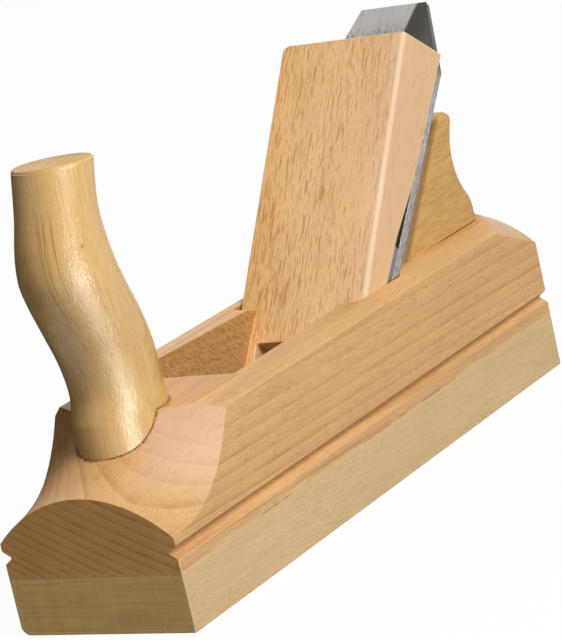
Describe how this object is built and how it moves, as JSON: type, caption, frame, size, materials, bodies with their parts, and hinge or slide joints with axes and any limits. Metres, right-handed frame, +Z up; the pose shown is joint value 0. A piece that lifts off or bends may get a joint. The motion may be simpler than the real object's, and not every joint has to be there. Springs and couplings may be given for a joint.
{
  "type": "wooden smoothing plane with front horn",
  "caption": "Wooden smoothing plane with a curved front horn, a hand guard behind the iron, and a double iron held in the body by a forked wedge.",
  "frame": {"origin": "centre of the sole's flat working face", "axes": "+X along the plane towards the toe, +Y across it towards the user's left, +Z up, away from the work"},
  "size_m": [0.243, 0.0608, 0.1338],
  "materials": {
    "beech": "planed beech, satin clear coat",
    "hornbeam_sole": "planed hornbeam, satin clear coat",
    "hornbeam_varnished": "sanded hornbeam, gloss varnish",
    "hornbeam_guard": "sanded hornbeam, satin varnish",
    "button_steel": "turned steel, satin",
    "iron_steel": "ground steel, brushed along its length",
    "cap_steel": "ground steel, brushed",
    "screw_steel": "turned steel, satin",
    "beech_wedge": "planed beech, satin clear coat"
  },
  "bodies": {
    "stock": {"body": "beech", "sole": "hornbeam_sole", "horn": "hornbeam_varnished", "hand_guard": "hornbeam_guard", "strike_button": "button_steel"},
    "iron": {"iron": "iron_steel"},
    "cap_iron": {"cap_iron": "cap_steel"},
    "cap_screw": {"cap_screw": "screw_steel"},
    "wedge": {"wedge": "beech_wedge"}
  },
  "joints": [
    {"name": "iron_slide", "type": "slide", "parent": "stock", "child": "iron", "axis": [-0.7071, 0, 0.7071], "range_m": [-0.0006, 0.06]},
    {"name": "cap_iron_slide", "type": "slide", "parent": "iron", "child": "cap_iron", "axis": [-0.7143, 0, 0.6999], "range_m": [-0.0005, 0.015]},
    {"name": "cap_screw_turn", "type": "hinge", "parent": "cap_iron", "child": "cap_screw", "pos_m": [-0.02906, 0, 0.04386], "axis": [0.7071, 0, 0.7071], "range_deg": [-360, 0]},
    {"name": "wedge_slide", "type": "slide", "parent": "cap_iron", "child": "wedge", "axis": [-0.7143, 0, 0.6999], "range_m": [0, 0.06]}
  ]
}
